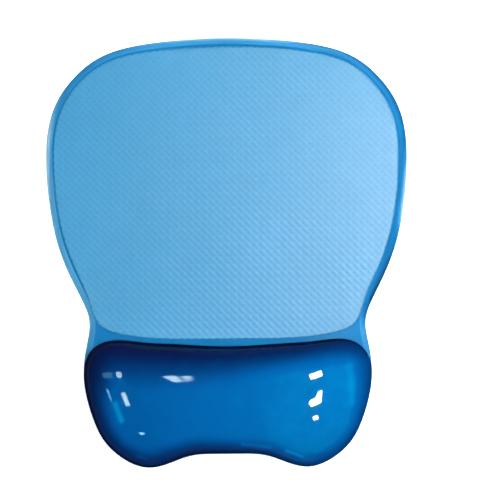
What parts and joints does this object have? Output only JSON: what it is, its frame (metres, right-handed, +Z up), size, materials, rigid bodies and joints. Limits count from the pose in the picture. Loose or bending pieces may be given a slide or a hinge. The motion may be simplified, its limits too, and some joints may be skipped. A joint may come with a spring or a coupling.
{
  "type": "gel mouse pad with wrist rest",
  "caption": "Low waisted gel mouse pad with a woven tracking sheet and a raised, glossy gel pillow that carries the wrist at its near edge.",
  "frame": {"origin": "under the middle of the outline, on the surface that the pad lies on", "axes": "+X to the user's right, +Y away from the user along the longest side with the wrist pillow at the -Y end, +Z up"},
  "size_m": [0.208, 0.247, 0.024],
  "materials": {
    "antislip_backing": "matte",
    "clear_film": "gloss",
    "pad_gel": "gloss",
    "adhesive": "satin",
    "woven_sheet": "satin",
    "pillow_film": "gloss",
    "pillow_gel": "gloss"
  },
  "bodies": {
    "root": {"antislip_base": "antislip_backing", "lower_film": "clear_film", "pad_gel": "pad_gel", "upper_film": "clear_film", "sheet_adhesive": "adhesive", "tracking_sheet": "woven_sheet", "pillow_adhesive": "adhesive", "pillow_backing": "pillow_film", "pillow_gel": "pillow_gel", "pillow_skin": "pillow_film"}
  },
  "joints": []
}
